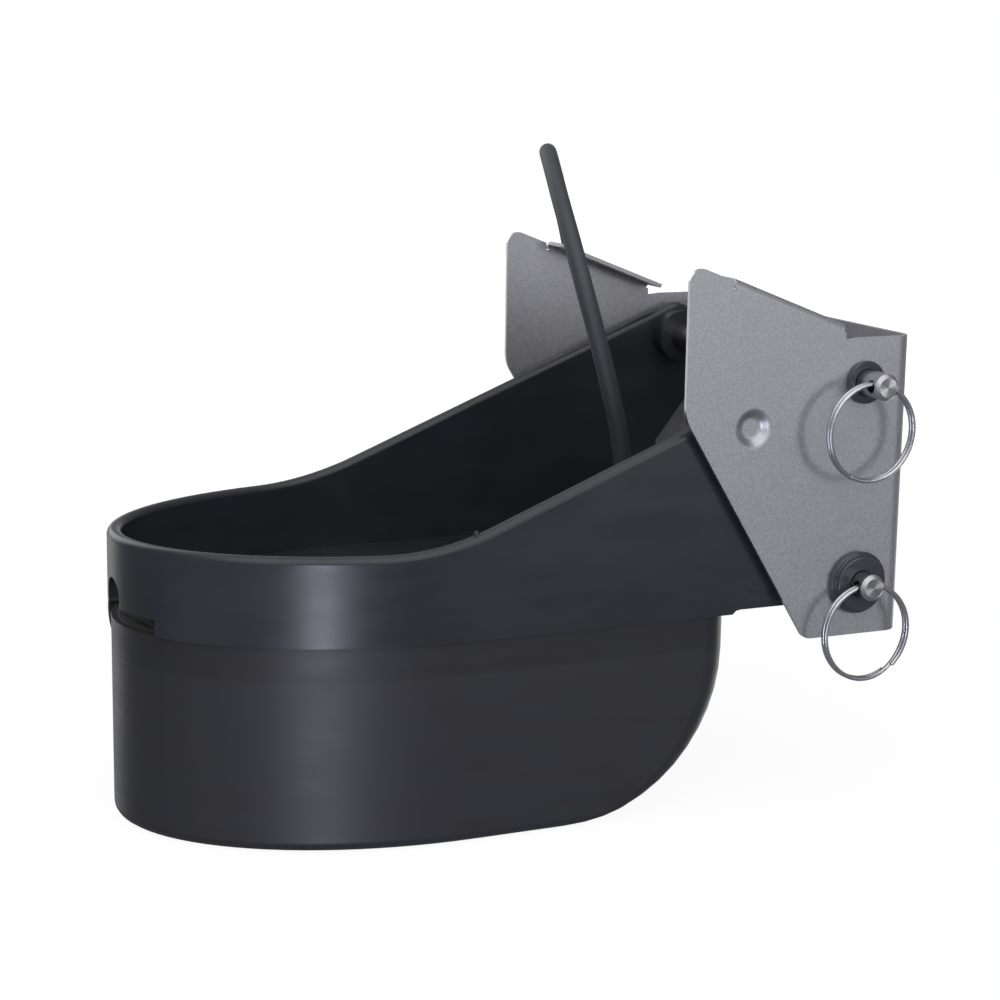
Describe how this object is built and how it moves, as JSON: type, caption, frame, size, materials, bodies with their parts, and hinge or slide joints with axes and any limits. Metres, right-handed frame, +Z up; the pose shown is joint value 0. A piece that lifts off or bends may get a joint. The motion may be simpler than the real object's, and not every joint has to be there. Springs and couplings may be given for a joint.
{
  "type": "sonar transducer",
  "caption": "Transom-mount sonar transducer: rounded acoustic tank under an open tub that swings up on a pivot pin in a folded stainless kick-up bracket, with pull rings and a coiled cable.",
  "frame": {"origin": "centre of the bracket's back face, which lies on the transom", "axes": "+X out of the back face toward the boat, +Y to port, +Z up"},
  "size_m": [0.2585, 0.3222, 0.2199],
  "materials": {
    "stainless": "blasted satin",
    "pin_steel": "turned",
    "ring_steel": "bright",
    "bush_plastic": "moulded",
    "tub_plastic": "moulded satin",
    "tank_urethane": "cast satin",
    "potting_epoxy": "cast",
    "ceramic": "fired, silvered",
    "cork": "pressed",
    "epoxy_bead": "dipped",
    "ferrite": "sintered",
    "rubber": "moulded",
    "screw_steel": "turned",
    "gland_nylon": "moulded",
    "cable_jacket": "extruded",
    "tie_nylon": "moulded",
    "plug_plastic": "moulded",
    "contact_brass": "plated"
  },
  "bodies": {
    "bracket": {"bracket": "stainless", "pivot_pin": "pin_steel", "latch_pin": "pin_steel", "pivot_bush_starboard": "bush_plastic", "pivot_bush_port": "bush_plastic", "latch_bush_starboard": "bush_plastic", "latch_bush_port": "bush_plastic"},
    "transducer": {"tub": "tub_plastic", "tank": "tank_urethane", "potting": "potting_epoxy", "low_frequency_array": "ceramic", "high_frequency_disc": "ceramic", "backing_pad": "cork", "thermistor": "epoxy_bead", "transformer": "ferrite", "tub_gasket": "rubber", "housing_screws": "screw_steel", "gland_body": "gland_nylon", "gland_nut": "gland_nylon", "gland_seal": "rubber", "cable_lead": "cable_jacket", "cable_coil": "cable_jacket", "coil_tie": "tie_nylon", "cable_tail": "cable_jacket", "plug_body": "plug_plastic", "plug_collar": "plug_plastic", "plug_insert": "contact_brass"},
    "pivot_ring": {"pivot_ring": "ring_steel"},
    "latch_ring": {"latch_ring": "ring_steel"}
  },
  "joints": [
    {"name": "kick_up", "type": "hinge", "parent": "bracket", "child": "transducer", "pos_m": [-0.019, 0, 0.036], "axis": [0, 1, 0], "range_deg": [0, 44]},
    {"name": "pivot_ring_swing", "type": "hinge", "parent": "bracket", "child": "pivot_ring", "pos_m": [-0.019, -0.0801, 0.036], "axis": [-1, 0, 0], "range_deg": [-13, 80]},
    {"name": "latch_ring_swing", "type": "hinge", "parent": "bracket", "child": "latch_ring", "pos_m": [-0.019, -0.0775, -0.0325], "axis": [-1, 0, 0], "range_deg": [-7, 80]}
  ]
}
